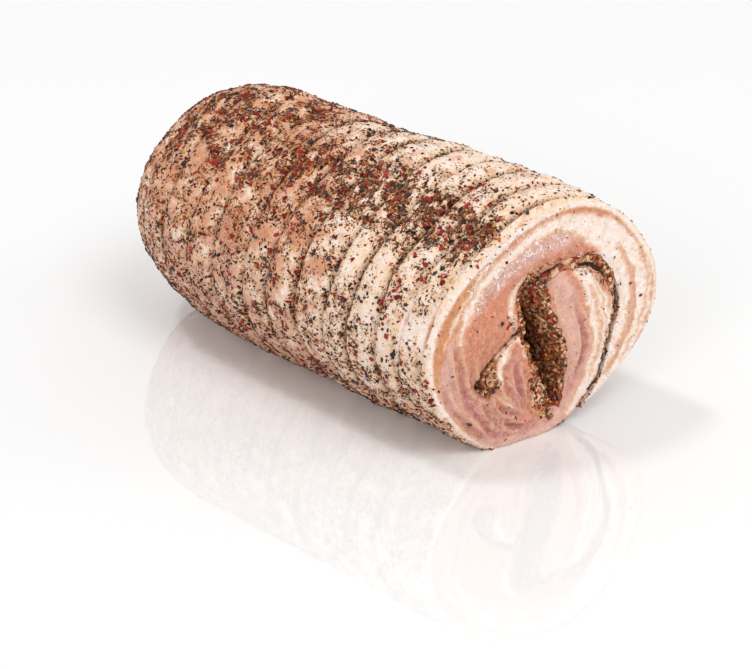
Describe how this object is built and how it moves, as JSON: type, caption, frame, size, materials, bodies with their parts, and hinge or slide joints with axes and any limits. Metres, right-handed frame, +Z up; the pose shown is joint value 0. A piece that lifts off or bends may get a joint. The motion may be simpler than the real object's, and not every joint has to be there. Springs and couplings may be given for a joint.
{
  "type": "porchetta",
  "caption": "Rolled and tied pork belly roast rubbed with herbs, lying on its side, with a cut end that shows the spiral and an open hollow.",
  "frame": {"origin": "middle of the bounding box at the level of the surface the roast lies on", "axes": "+X along the roll towards the cut end that shows the spiral, +Z up, +Y to the right as one faces that cut"},
  "size_m": [0.2582, 0.1334, 0.1237],
  "materials": {
    "roast_pork": "moist",
    "herb_rub": "moist"
  },
  "bodies": {
    "root": {"pork_roll": "roast_pork", "herb_filling": "herb_rub"}
  },
  "joints": []
}
